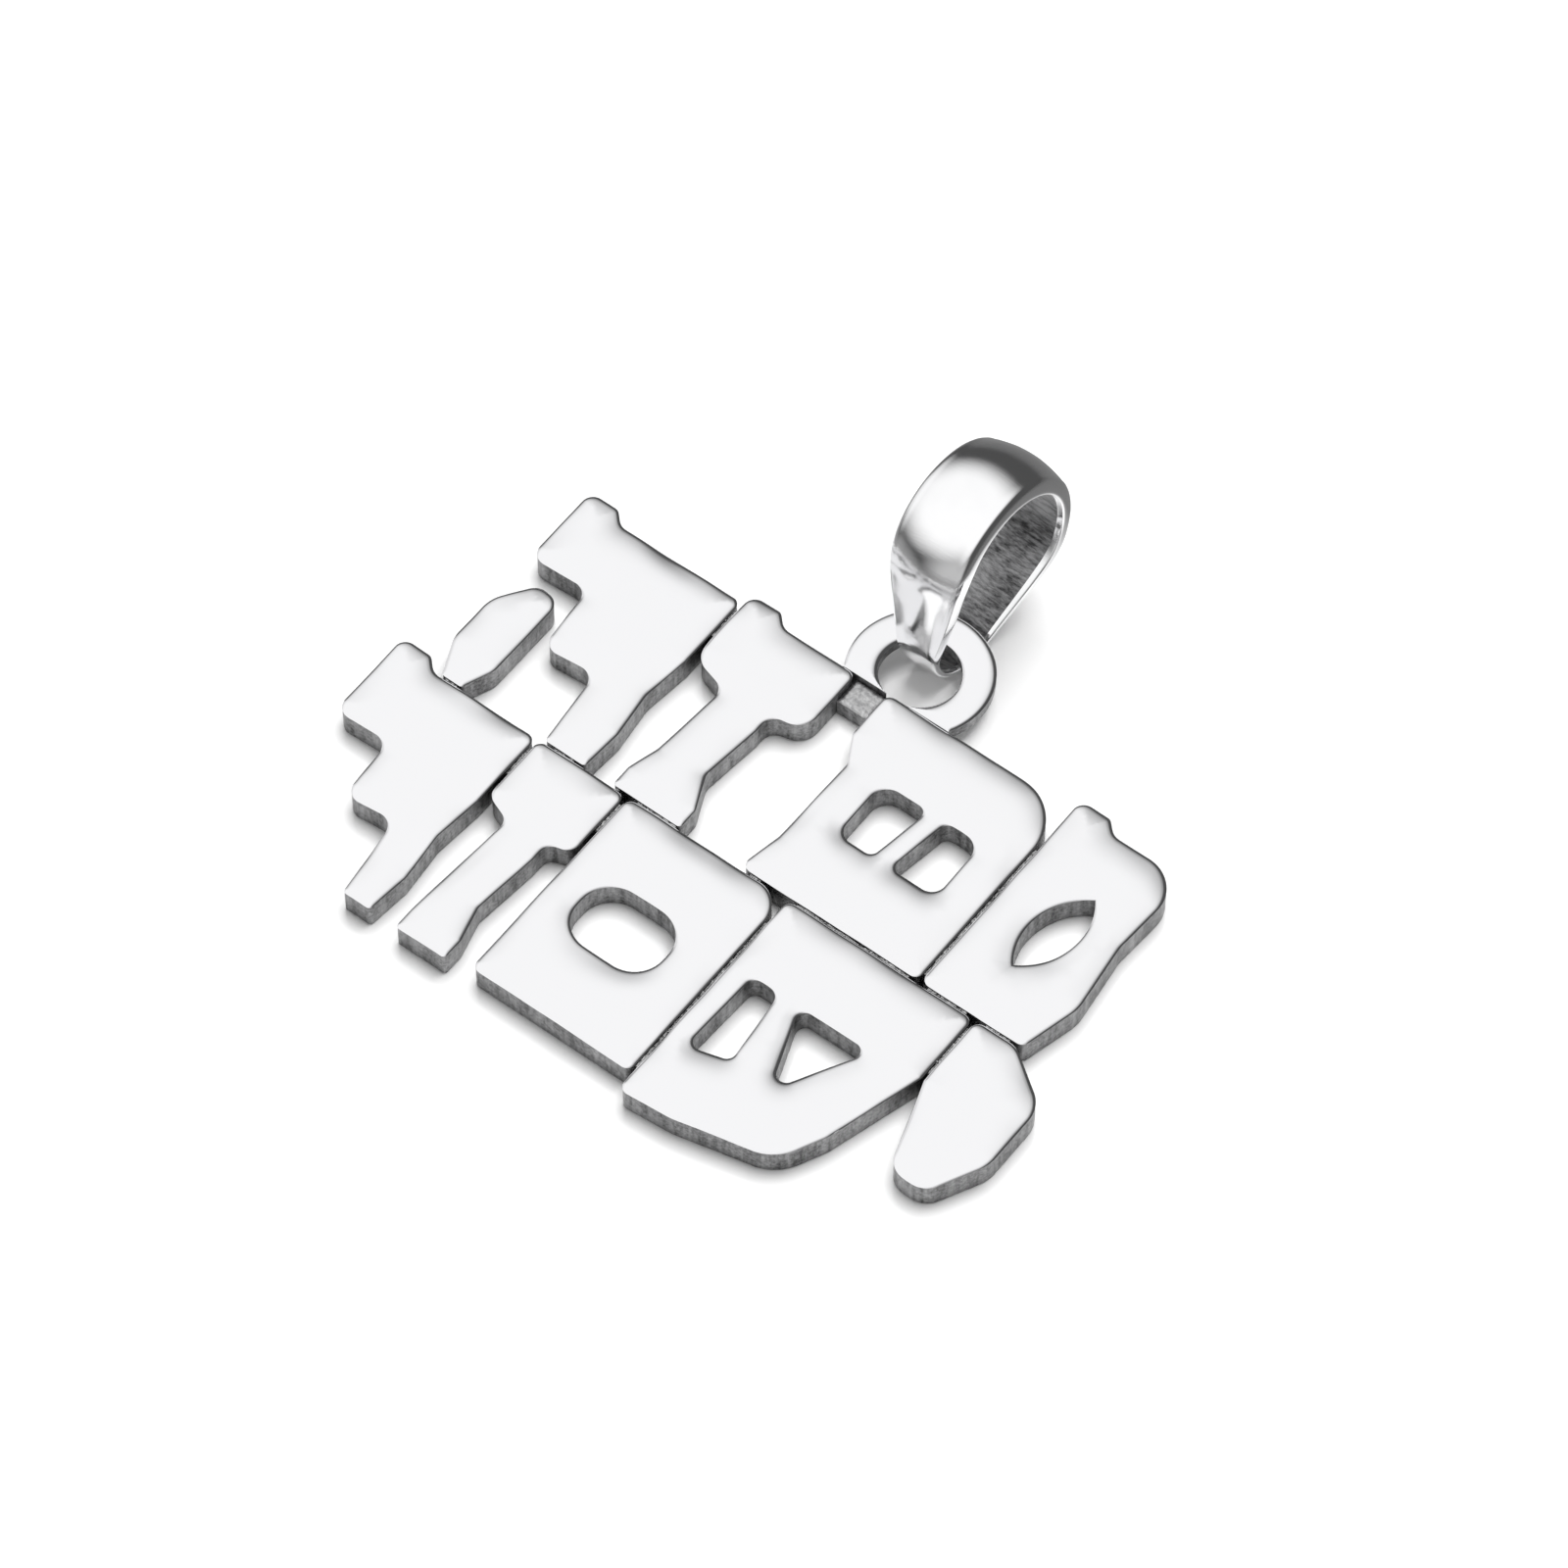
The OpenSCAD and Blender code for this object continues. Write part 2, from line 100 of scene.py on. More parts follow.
# Fronts and walls: shares of the roll's width and of the wall's height that have rows of points, how
# close those rows may come, sizes in millimetres of the waves, the burr, the back's bevel and the tie
# bar's roll, and the saw marks' waves per millimetre along the wall and down it
ROLL_RINGS = (0.02, 0.05, 0.1, 0.18, 0.28, 0.4, 0.55, 0.75, 1.0)
WALL_LEVELS = (0.05, 0.25, 0.5, 0.75, 0.95, 1.0)
ROLL_POWER = 2.1
RING_SLACK = 0.93
GRID_MARGIN = 1.05
WIDTH_WAVE = 2.2
DROP_WAVE = 1.5
SWELL_WAVE = 2.6
BURR_WIDTH = 0.1
BURR_DROP = 0.03
SAW_WAVES = 7
SAW_WAVES_DOWN = 5
BACK_BEVEL = 0.03
TIE_ROLL_WIDTH = 0.2
TIE_ROLL_DROP = 0.06

# Solder, in millimetres
SOLDER_RISE = 0.1
BEAD_STEP = 0.05
BEAD_ACROSS = 4
BEAD_INSET = 0.004
BEAD_SINK = 0.08
BEAD_ROUGHNESS = 0.03
BEAD_FLOOR = 0.01
CRUMBS_PER_MM = 1.6

# Bail: how early the strip widens, and in millimetres how far its finish lies inside the solid
# and how deep its slow dents are
RISE_POWER = 0.8
BAIL_INSET = 0.006
BAIL_DENT = 0.012
BAIL_STATIONS = 160

# Scales of the finishes' noise, in waves per metre
HAZE_SCALE = 380
SCRATCH_SCALE = 1500
STREAK_SCALE = 5200
STAIN_SCALE = 900
BRUSH_SCALE = 9000
SMEAR_SCALE = 700

# Point that the camera looks at, in millimetres from the low corner of the pendant's box
VIEW_CENTRE = (12.62, 11.51, 1.08)
# Patches of light that polished metal sees. For each: azimuth from the camera's, elevation,
# outer angle where it ends, inner angle within which it's full, and brightness
TENT_PATCHES = (
    (-100, 68, 75, 36, 0.96),
    (-128, 14, 26, 12, 0.75),
    (-25, 4, 46, 10, 0.5),
)
TENT_DARK = 0.07
SOFT_WHITE = 0.42
WORLD_STRENGTH = 1.12
# Floor, in metres: its half size, and the pool of light that polished metal sees in it
FLOOR_REACH = 1.5
POOL_CENTRE = (0, -0.003, 0)
POOL_FULL = 0.0135
POOL_END = 0.0175
POOL_RIM = 0.14


# ---------------------------------------------------------------- settings


def length(name, description, default, low=0.0, high=10.0):
    """A length in millimetres that the panel shows."""
    return FloatProperty(name=name, description=description, default=default, min=low, max=high)


def colour(name, description, default):
    """A colour that the panel shows."""
    return FloatVectorProperty(name=name, description=description, default=default, subtype="COLOR")


def angle(name, description, degrees):
    """An angle that the panel shows in degrees."""
    return FloatProperty(
        name=name, description=description, default=math.radians(degrees), subtype="ANGLE", unit="ROTATION"
    )


class PendantBlockSettings(bpy.types.PropertyGroup):
    """Sizes of the polished blocks' edges, in millimetres."""

    roll_width: length("Roll width", "How far in from an edge the polished front starts to fall", 1.1, 0.05)
    roll_drop: length("Roll drop", "How far the polished front falls at its edge", 0.13, 0.01)
    swell: length("Swell", "Height of the slow waves that hand polishing leaves", 0.008)
    saw_depth: length("Saw depth", "Depth of the saw marks in the edges", 0.014)
    point_gap: length("Point gap", "Distance between points along an outline", 0.075, 0.02)
    front_gap: length("Front gap", "Distance between points inside a front face", 0.17, 0.05)


class PendantRingSettings(bpy.types.PropertyGroup):
    """Sizes of the ring's edges, in millimetres."""

    roll_width: length("Roll width", "How far in from an edge the ring's front starts to fall", 0.3, 0.05)
    roll_drop: length("Roll drop", "How far the ring's front falls at its edge", 0.07, 0.01)


class PendantBailSettings(bpy.types.PropertyGroup):
    """Sizes of the bail, in millimetres, measured from its narrow end."""

    low_radius: length("Low radius", "Outer radius of the narrow end", 1.78)
    high_radius: length("High radius", "Outer radius of the wide end", 2.8)
    span: length("Span", "Distance between the centres of the two ends", 2.8)
    low_half_width: length("Low half width", "Half of the strip's width at the narrow end", 0.75)
    high_half_width: length("High half width", "Half of the strip's width at the wide end", 1.45)
    low_thickness: length("Low thickness", "Thickness of the strip's edges at the narrow end", 0.25)
    high_thickness: length("High thickness", "Thickness of the strip's edges at the wide end", 0.45)
    crown: length("Crown", "Extra thickness along the middle of the strip", 0.3)
    rise_start: length("Rise start", "Distance from the narrow tip where the strip starts to widen", 0.38)
    rise_end: length("Rise end", "Distance from the narrow tip where the strip is widest", 4.96)
    edge_radius: length("Edge radius", "Rounding of the strip's outer edges", 0.3)
    inner_radius: length("Inner radius", "Rounding of the strip's inner edges", 0.08)
    ahead: length("Ahead", "How far the narrow end's centre lies ahead of the hinge", 0.336)
    above: length("Above", "How far the narrow end's centre lies above the hinge", 0.856)
    lean: angle("Lean", "Angle of the bail above the blocks", 59)
    turn: angle("Turn", "Angle that the loose bail is turned about its own length", 4)
    tip: angle("Tip", "Angle that the loose bail is tipped sideways", 2)


class PendantFinishSettings(bpy.types.PropertyGroup):
    """Colours of the metal finishes."""

    polished: colour("Polished", "Colour of the polished metal", (0.93, 0.93, 0.935))
    sawn_dark: colour("Sawn dark", "Darkest colour of the sawn edges", (0.05, 0.05, 0.051))
    sawn_light: colour("Sawn light", "Lightest colour of the sawn edges", (0.46, 0.46, 0.465))
    back_dark: colour("Back dark", "Darkest colour of the brushed back", (0.45, 0.45, 0.45))
    back_light: colour("Back light", "Lightest colour of the brushed back", (0.75, 0.75, 0.755))
    tie_dark: colour("Tie dark", "Darkest colour of the tie bar", (0.32, 0.32, 0.325))
    tie_light: colour("Tie light", "Lightest colour of the tie bar", (0.8, 0.8, 0.8))
    solder_dark: colour("Solder dark", "Darkest colour of the solder", (0.12, 0.12, 0.122))
    solder_light: colour("Solder light", "Lightest colour of the solder", (0.85, 0.85, 0.85))
    # Inside the bail: a brushed finish whose dark colours are also painted shade for the hollow of the loop
    shaded_lining_dark: colour("Lining dark", "Darkest colour inside the bail", (0.05, 0.05, 0.051))
    shaded_lining_light: colour("Lining light", "Lightest colour inside the bail", (0.36, 0.36, 0.365))


class PendantStageSettings(bpy.types.PropertyGroup):
    """The camera, the lights and the floor."""

    azimuth: angle("Azimuth", "Direction of the camera", 37.3)
    elevation: angle("Elevation", "Height of the camera", 56.6)
    view_width: length("View width", "Width that the camera sees", 47.6, 10, 100)
    lens: FloatProperty(name="Lens", description="Focal length of the camera in millimetres", default=190)
    floor_colour: colour("Floor", "Colour of the floor", (0.93, 0.93, 0.93))


# ---------------------------------------------------------------- shader groups


def new_group(name, inputs, outputs):
    """A shader node group with its sockets, and its input and output nodes."""
    group = bpy.data.node_groups.new(name, "ShaderNodeTree")
    for label, kind, value in inputs:
        socket = group.interface.new_socket(label, in_out="INPUT", socket_type=kind)
        socket.default_value = value
    for label, kind in outputs:
        group.interface.new_socket(label, in_out="OUTPUT", socket_type=kind)
    return group, group.nodes.new("NodeGroupInput"), group.nodes.new("NodeGroupOutput")


def math_node(tree, operation, first, second):
    """A math node of two values or links."""
    node = tree.nodes.new("ShaderNodeMath")
    node.operation = operation
    for socket, value in zip(node.inputs, (first, second)):
        if isinstance(value, bpy.types.NodeSocket):
            tree.links.new(value, socket)
        else:
            socket.default_value = value
    return node.outputs[0]


def noise_node(tree, vector, scale, detail, roughness=0.5):
    """A noise texture's value at a vector."""
    node = tree.nodes.new("ShaderNodeTexNoise")
    node.inputs["Detail"].default_value = detail
    node.inputs["Roughness"].default_value = roughness
    if isinstance(scale, bpy.types.NodeSocket):
        tree.links.new(scale, node.inputs["Scale"])
    else:
        node.inputs["Scale"].default_value = scale
    tree.links.new(vector, node.inputs["Vector"])
    return node.outputs["Fac"]


def blend_node(tree, first, second, share):
    """A sum of two values, where the second has the given share and the first has the rest."""
    rest = math_node(tree, "MULTIPLY", first, 1 - share)
    return math_node(tree, "ADD", rest, math_node(tree, "MULTIPLY", second, share))


def ramp_node(tree, value, low, high):
    """Stretches a value so that low becomes 0 and high becomes 1."""
    node = tree.nodes.new("ShaderNodeMapRange")
    tree.links.new(value, node.inputs["Value"])
    node.inputs["From Min"].default_value = low
    node.inputs["From Max"].default_value = high
    return node.outputs["Result"]


def mix_node(tree, factor, first, second):
    """A mix of two numbers by a factor."""
    node = tree.nodes.new("ShaderNodeMix")
    tree.links.new(factor, node.inputs["Factor"])
    tree.links.new(first, node.inputs["A"])
    tree.links.new(second, node.inputs["B"])
    return node.outputs["Result"]


def mix_colour(tree, factor, first, second):
    """A mix of two colours by a factor."""
    node = tree.nodes.new("ShaderNodeMix")
    node.data_type = "RGBA"
    tree.links.new(factor, node.inputs["Factor"])
    tree.links.new(first, node.inputs["A"])
    tree.links.new(second, node.inputs["B"])
    return node.outputs["Result"]


def polish_haze_group():
    """Hand polish: patches of haze and fine wheel scratches."""
    group, source, sink = new_group(
        "polish_haze",
        [
            ("Position", "NodeSocketVector", (0, 0, 0)),
            ("Tint", "NodeSocketColor", (1, 1, 1, 1)),
            ("Clear", "NodeSocketFloat", 0.04),
            ("Hazy", "NodeSocketFloat", 0.12),
        ],
        [("Color", "NodeSocketColor"), ("Roughness", "NodeSocketFloat"), ("Height", "NodeSocketFloat")],
    )
    position = source.outputs["Position"]
    patches = ramp_node(group, noise_node(group, position, HAZE_SCALE, 3), 0.35, 0.7)
    scratches = group.nodes.new("ShaderNodeMapping")
    scratches.inputs["Rotation"].default_value = (0, 0, 0.6)
    scratches.inputs["Scale"].default_value = (1.0, 14.0, 6.0)
    group.links.new(position, scratches.inputs["Vector"])
    lines = noise_node(group, scratches.outputs["Vector"], SCRATCH_SCALE, 4, 0.7)
    group.links.new(
        mix_node(group, patches, source.outputs["Clear"], source.outputs["Hazy"]), sink.inputs["Roughness"]
    )
    group.links.new(lines, sink.inputs["Height"])
    shade = group.nodes.new("ShaderNodeMix")
    shade.data_type = "RGBA"
    shade.blend_type = "MULTIPLY"
    shade.inputs["B"].default_value = (0.94, 0.94, 0.945, 1)
    group.links.new(patches, shade.inputs["Factor"])
    group.links.new(source.outputs["Tint"], shade.inputs["A"])
    group.links.new(shade.outputs["Result"], sink.inputs["Color"])
    return group


def sawn_grain_group():
    """Sawn and blasted metal: grain, upright saw marks and dark pits."""
    group, source, sink = new_group(
        "sawn_grain",
        [
            ("Position", "NodeSocketVector", (0, 0, 0)),
            ("Dark", "NodeSocketColor", (0.1, 0.1, 0.1, 1)),
            ("Light", "NodeSocketColor", (0.5, 0.5, 0.5, 1)),
            ("Grain", "NodeSocketFloat", 9000),
            ("Streaks", "NodeSocketFloat", 0.4),
        ],
        [("Color", "NodeSocketColor"), ("Roughness", "NodeSocketFloat"), ("Height", "NodeSocketFloat")],
    )
    position = source.outputs["Position"]
    grain = noise_node(group, position, source.outputs["Grain"], 3, 0.65)
    stretch = group.nodes.new("ShaderNodeMapping")
    stretch.inputs["Scale"].default_value = (1.0, 1.0, 0.12)
    group.links.new(position, stretch.inputs["Vector"])
    streaks = noise_node(group, stretch.outputs["Vector"], STREAK_SCALE, 2, 0.6)
    stains = noise_node(group, position, STAIN_SCALE, 2)
    marks = mix_node(group, source.outputs["Streaks"], grain, streaks)
    value = blend_node(group, marks, stains, 0.25)
    shade = ramp_node(group, value, 0.36, 0.64)
    group.links.new(
        mix_colour(group, shade, source.outputs["Dark"], source.outputs["Light"]), sink.inputs["Color"]
    )
    group.links.new(ramp_node(group, value, -0.4, 1.6), sink.inputs["Roughness"])
    group.links.new(value, sink.inputs["Height"])
    return group


def brush_lines_group():
    """Metal brushed one way, with dark smears."""
    group, source, sink = new_group(
        "brush_lines",
        [
            ("Position", "NodeSocketVector", (0, 0, 0)),
            ("Dark", "NodeSocketColor", (0.1, 0.1, 0.1, 1)),
            ("Light", "NodeSocketColor", (0.5, 0.5, 0.5, 1)),
        ],
        [("Color", "NodeSocketColor"), ("Roughness", "NodeSocketFloat"), ("Height", "NodeSocketFloat")],
    )
    position = source.outputs["Position"]
    stretch = group.nodes.new("ShaderNodeMapping")
    stretch.inputs["Scale"].default_value = (0.25, 1.0, 1.0)
    group.links.new(position, stretch.inputs["Vector"])
    lines = noise_node(group, stretch.outputs["Vector"], BRUSH_SCALE, 4, 0.7)
    smears = noise_node(group, position, SMEAR_SCALE, 3)
    value = blend_node(group, lines, smears, 0.4)
    shade = ramp_node(group, value, 0.38, 0.62)
    group.links.new(
        mix_colour(group, shade, source.outputs["Dark"], source.outputs["Light"]), sink.inputs["Color"]
    )
    group.links.new(ramp_node(group, value, -0.5, 1.9), sink.inputs["Roughness"])
    group.links.new(lines, sink.inputs["Height"])
    return group


# ---------------------------------------------------------------- materials


def shared_group(name):
    """The shader group of that name, made the first time that it's needed."""
    makers = {
        "polish_haze": polish_haze_group,
        "sawn_grain": sawn_grain_group,
        "brush_lines": brush_lines_group,
    }
    return bpy.data.node_groups.get(name) or makers[name]()


def metal(name, group_name, values, bump):
    """A metal whose colour, roughness and bump come from a shared group. The bump is in millimetres."""
    found = bpy.data.materials.get(name)
    if found:
        return found
    material = bpy.data.materials.new(name)
    material.use_nodes = True
    tree = material.node_tree
    shader = tree.nodes["Principled BSDF"]
    shader.inputs["Metallic"].default_value = 1.0
    place = tree.nodes.new("ShaderNodeTexCoord")
    effect = tree.nodes.new("ShaderNodeGroup")
    effect.node_tree = shared_group(group_name)
    tree.links.new(place.outputs["Object"], effect.inputs["Position"])
    for label, value in values.items():
        effect.inputs[label].default_value = value
    height = tree.nodes.new("ShaderNodeBump")
    height.inputs["Distance"].default_value = bump * MM
    height.inputs["Strength"].default_value = 1.0
    tree.links.new(effect.outputs["Height"], height.inputs["Height"])
    tree.links.new(height.outputs["Normal"], shader.inputs["Normal"])
    tree.links.new(effect.outputs["Color"], shader.inputs["Base Color"])
    tree.links.new(effect.outputs["Roughness"], shader.inputs["Roughness"])
    return material


def rgba(colour):
    return (*colour, 1.0)


def grained(name, dark, light, grain, streaks, bump):
    """A sawn, filed or rough metal, with its grain in waves per metre and its bump in millimetres."""
    values = {"Dark": rgba(dark), "Light": rgba(light), "Grain": grain, "Streaks": streaks}
    return metal(name, "sawn_grain", values, bump)


def polished_silver(finish):
    values = {"Tint": rgba(finish.polished), "Clear": 0.035, "Hazy": 0.085}
    return metal("polished_silver", "polish_haze", values, bump=0.0012)


def sawn_silver(finish):
    return grained("sawn_silver", finish.sawn_dark, finish.sawn_light, grain=9500, streaks=0.45, bump=0.03)


def back_silver(finish):
    values = {"Dark": rgba(finish.back_dark), "Light": rgba(finish.back_light)}
    return metal("back_silver", "brush_lines", values, bump=0.006)


def tie_silver(finish):
    return grained("tie_silver", finish.tie_dark, finish.tie_light, grain=7000, streaks=0.1, bump=0.02)


def solder_grey(finish):
    dark = finish.solder_dark
    return grained("solder_grey", dark, finish.solder_light, grain=14000, streaks=0.0, bump=0.03)


def bail_polished(finish):
    values = {"Tint": rgba(finish.polished), "Clear": 0.06, "Hazy": 0.16}
    return metal("bail_polished", "polish_haze", values, bump=0.002)


# The inside of the bail: brushed lines, with colours darkened as painted shade for the hollow loop
def bail_brushed_shaded(finish):
    values = {"Dark": rgba(finish.shaded_lining_dark), "Light": rgba(finish.shaded_lining_light)}
    return metal("bail_brushed_shaded", "brush_lines", values, bump=0.02)


# ---------------------------------------------------------------- meshes


def add_piece(name, body, points, faces, face_materials, materials, slot, nodes, sharp=35):
    """A smooth mesh piece, in millimetres, that rides on a body and stands for CAD nodes."""
    mesh = bpy.data.meshes.new(name)
    mesh.from_pydata([Vector(p) * MM for p in points], [], faces)
    mesh.polygons.foreach_set("material_index", face_materials)
    for material in materials:
        mesh.materials.append(material)
    mesh.validate()
    mesh.shade_smooth()
    mesh.set_sharp_from_angle(angle=math.radians(sharp))
    piece = bpy.data.objects.new(name, mesh)
    bpy.context.scene.collection.objects.link(piece)
    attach(piece, body)
    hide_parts(*nodes)
    return piece


def flat_loops(node):
    """The outline and the holes of a CAD node's front face, in millimetres, inside on the left."""
    mesh = frame["nodes"][node].data
    top = max(v.co.z for v in mesh.vertices)
    edges = {}
    for face in mesh.polygons:
        if face.normal.z > 0.9 and abs(face.center.z - top) < 1e-6:
            keys = [tuple(round(c / MM, 4) for c in mesh.vertices[v].co[:2]) for v in face.vertices]
            for a, b in zip(keys, keys[1:] + keys[:1]):
                edges[(a, b)] = True
    after = {a: b for a, b in edges if (b, a) not in edges}
    loops = []
    while after:
        start = next(iter(after))
        loop = [start]
        point = after.pop(start)
        while point != start:
            loop.append(point)
            point = after.pop(point)
        loops.append(np.array(loop))
    return loops


def rounded(loop, gap):
    """The loop with its facets rounded into curves, and points no further apart than gap."""
    kept = [loop[0]]
    for point in loop[1:]:
        if np.linalg.norm(point - kept[-1]) > CRUMB_EDGE:
            kept.append(point)
    if np.linalg.norm(kept[0] - kept[-1]) < CRUMB_EDGE:
        kept.pop()
    kept = np.array(kept)
    edge = np.roll(kept, -1, axis=0) - kept
    size = np.linalg.norm(edge, axis=1)
    way = edge / size[:, None]
    points = []
    n = len(kept)
    for k in range(n):
        before = way[k - 1]
        after = way[(k + 1) % n]
        leave = way[k]
        arrive = way[k]
        if size[k] < FACET_EDGE:
            own = way[k] / size[k]
            near = size[k - 1]
            far = size[(k + 1) % n]
            if before @ way[k] > SHARP_COSINE:
                leave = before if near > FACET_EDGE else unit(before / near + own)
            if after @ way[k] > SHARP_COSINE:
                arrive = after if far > FACET_EDGE else unit(after / far + own)
        steps = max(1, math.ceil(size[k] / gap))
        for j in range(steps):
            u = j / steps
            bend = (u - 2 * u**2 + u**3) * leave + (u**3 - u**2) * arrive
            along = (3 * u**2 - 2 * u**3) * edge[k]
            points.append(kept[k] + along + bend * size[k])
    points = np.array(points)
    return points + inward(points) * OUTLINE_INSET


def unit(vector):
    return vector / np.linalg.norm(vector)


def inward(loop):
    """Unit vectors that point from the loop's points into the metal."""
    way = np.roll(loop, -1, axis=0) - np.roll(loop, 1, axis=0)
    way /= np.linalg.norm(way, axis=1)[:, None]
    return np.stack([-way[:, 1], way[:, 0]], axis=1)


def blunt_share(loop):
    """0 at the loop's sharp corners, rising to 1 away from them."""
    way = np.roll(loop, -1, axis=0) - loop
    way /= np.linalg.norm(way, axis=1)[:, None]
    turn = (way * np.roll(way, 1, axis=0)).sum(axis=1)
    tips = loop[turn < TIP_COSINE]
    share = np.ones(len(loop))
    for tip in tips:
        share = np.minimum(share, np.linalg.norm(loop - tip, axis=1) / TIP_REACH)
    return share


def edge_distance(points, loops):
    """Distance from each point to the nearest edge of the loops."""
    best = np.full(len(points), np.inf)
    for loop in loops:
        for a, b in zip(loop, np.roll(loop, -1, axis=0)):
            along = b - a
            share = np.clip(((points - a) @ along) / (along @ along), 0, 1)
            best = np.minimum(best, np.linalg.norm(points - a - share[:, None] * along, axis=1))
    return best


def inside(points, loops):
    """Whether each point lies in the metal."""
    odd = np.zeros(len(points), bool)
    for loop in loops:
        for a, b in zip(loop, np.roll(loop, -1, axis=0)):
            if a[1] == b[1]:
                continue
            crosses = (points[:, 1] < a[1]) != (points[:, 1] < b[1])
            x = a[0] + (points[:, 1] - a[1]) * (b[0] - a[0]) / (b[1] - a[1])
            odd ^= crosses & (points[:, 0] < x)
    return odd


def thinned(points, gap):
    """The points without those that lie closer than gap to an earlier one."""
    tree = KDTree(len(points))
    for k, point in enumerate(points):
        tree.insert((*point, 0), k)
    tree.balance()
    kept = [all(j >= k for _, j, _ in tree.find_range((*point, 0), gap)) for k, point in enumerate(points)]
    return points[np.array(kept)]


def fill(loops, extra):
    """Triangles over the metal between the loops, through the extra points. Loop points come first."""
    flat = np.concatenate([*loops, extra]) if len(extra) else np.concatenate(loops)
    edges = []
    start = 0
    for loop in loops:
        n = len(loop)
        edges += [(start + k, start + (k + 1) % n) for k in range(n)]
        start += n
    points, _, faces, *_ = delaunay_2d_cdt([Vector(p) for p in flat], edges, [], 0, 1e-7)
    if len(points) != len(flat):
        raise RuntimeError("the outline crosses itself, or two of its points are the same")
    corners = np.array([list(p) for p in points])
    faces = np.array(faces)
    kept = faces[inside(corners[faces].mean(axis=1), loops)]
    return corners, kept.tolist()


def wave(point, size, seed):
    """Smooth noise from -1 to 1 over a flat point, with waves of about that size in millimetres."""
    return noise.noise(Vector((point[0] / size, point[1] / size, seed)))


def front_rows(loops, low, high, roll_width, gap):
    """Points inside a front face: rows along its edges, where it rolls over, and a grid between them."""
    rows = [loop + inward(loop) * share * roll_width for loop in loops for share in ROLL_RINGS]
    offsets = [np.full(len(loop), share * roll_width) for loop in loops for share in ROLL_RINGS]
    near = np.concatenate(rows)
    wanted = np.concatenate(offsets)
    near = near[(edge_distance(near, loops) > RING_SLACK * wanted) & inside(near, loops)]
    xs, ys = (np.arange(low[i] + gap / 2, high[i], gap) for i in (0, 1))
    grid = np.array([(x + gap / 2 * (row % 2), y) for row, y in enumerate(ys) for x in xs])
    grid = grid[inside(grid, loops)]
    grid = grid[edge_distance(grid, loops) > GRID_MARGIN * roll_width]
    return thinned(np.concatenate([near, grid]), CRUMB_EDGE)


def rolled_front(loops, extra, top, roll_width, roll_drop, swell_height, seed):
    """The front's points, which fall towards its edges, and its faces. Outline points come first."""
    corners, faces = fill(loops, extra)
    depth = edge_distance(corners, loops)
    depth[:sum(len(loop) for loop in loops)] = 0
    points = []
    for point, d in zip(corners, depth):
        width = roll_width * (1 + 0.3 * wave(point, WIDTH_WAVE, seed))
        drop = roll_drop * (1 + 0.35 * wave(point, DROP_WAVE, seed + 7))
        fall = drop * max(0.0, 1 - d / width) ** ROLL_POWER
        fall += BURR_DROP * max(0.0, 1 - d / BURR_WIDTH) ** 2
        swell = swell_height * (0.5 + 0.5 * wave(point, SWELL_WAVE, seed + 3))
        points.append((point[0], point[1], top - fall - swell))
    return points, faces


def sawn_walls(loops, points, floor, saw_depth, seed):
    """Adds rows of points from the front's outline down to the back. Gives the faces and the last rows."""
    faces = []
    feet = []
    start = 0
    for loop in loops:
        n = len(loop)
        ways = inward(loop) * blunt_share(loop)[:, None]
        above = list(range(start, start + n))
        for share in WALL_LEVELS:
            row = []
            for k in range(n):
                top = points[start + k][2]
                z = top + (floor - top) * share
                mark = noise.noise(Vector((*(loop[k] * SAW_WAVES), z * SAW_WAVES_DOWN + seed)))
                bite = saw_depth * (0.5 + 0.5 * mark)
                if share == 1:
                    bite += BACK_BEVEL
                flat = loop[k] + ways[k] * bite
                row.append(len(points))
                points.append((flat[0], flat[1], z))
            for k in range(n):
                after = (k + 1) % n
                faces.append([above[k], row[k], row[after], above[after]])
            above = row
        feet.append(above)
        start += n
    return faces, feet


def rolled_plate(node, roll_width, roll_drop, settings, seed):
    """A flat piece over a CAD node: a front that rolls over at its edges, sawn walls and a flat back."""
    low, high = (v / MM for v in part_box(node))
    loops = [rounded(loop, settings.point_gap) for loop in flat_loops(node)]
    extra = front_rows(loops, low, high, roll_width, settings.front_gap)
    points, front = rolled_front(loops, extra, high.z, roll_width, roll_drop, settings.swell, seed)
    walls, feet = sawn_walls(loops, points, low.z, settings.saw_depth, seed)
    _, back = fill([np.array([points[i][:2] for i in foot]) for foot in feet], [])
    lookup = [i for foot in feet for i in foot]
    back = [[lookup[i] for i in reversed(face)] for face in back]
    kinds = [0] * len(front) + [1] * len(walls) + [2] * len(back)
    return points, front + walls + back, kinds


def plate_finishes(finish, front=polished_silver):
    """The materials of a flat piece: its front, its walls and its back."""
    return [front(finish), sawn_silver(finish), back_silver(finish)]


class PENDANT_OT_blocks(bpy.types.Operator):
    """Add the ten polished blocks"""

    bl_idname = "pendant.blocks"
    bl_label = "Blocks"

    def execute(self, context):
        settings = context.scene.pendant_blocks
        materials = plate_finishes(context.scene.pendant_finish)
        for seed, node in enumerate(BLOCKS):
            shape = rolled_plate(node, settings.roll_width, settings.roll_drop, settings, 11.0 * seed)
            add_piece("polished_" + node, "plate", *shape, materials, "polished_silver", [node])
        return {"FINISHED"}


class PENDANT_OT_tie_bar(bpy.types.Operator):
    """Add the matte bar that ties two blocks of the upper row"""

    bl_idname = "pendant.tie_bar"
    bl_label = "Tie bar"

    def execute(self, context):
        materials = plate_finishes(context.scene.pendant_finish, front=tie_silver)
        blocks = context.scene.pendant_blocks
        shape = rolled_plate("tie_bar", TIE_ROLL_WIDTH, TIE_ROLL_DROP, blocks, 5.0)
        add_piece("filed_tie_bar", "plate", *shape, materials, "matte_silver", ["tie_bar"])
        return {"FINISHED"}


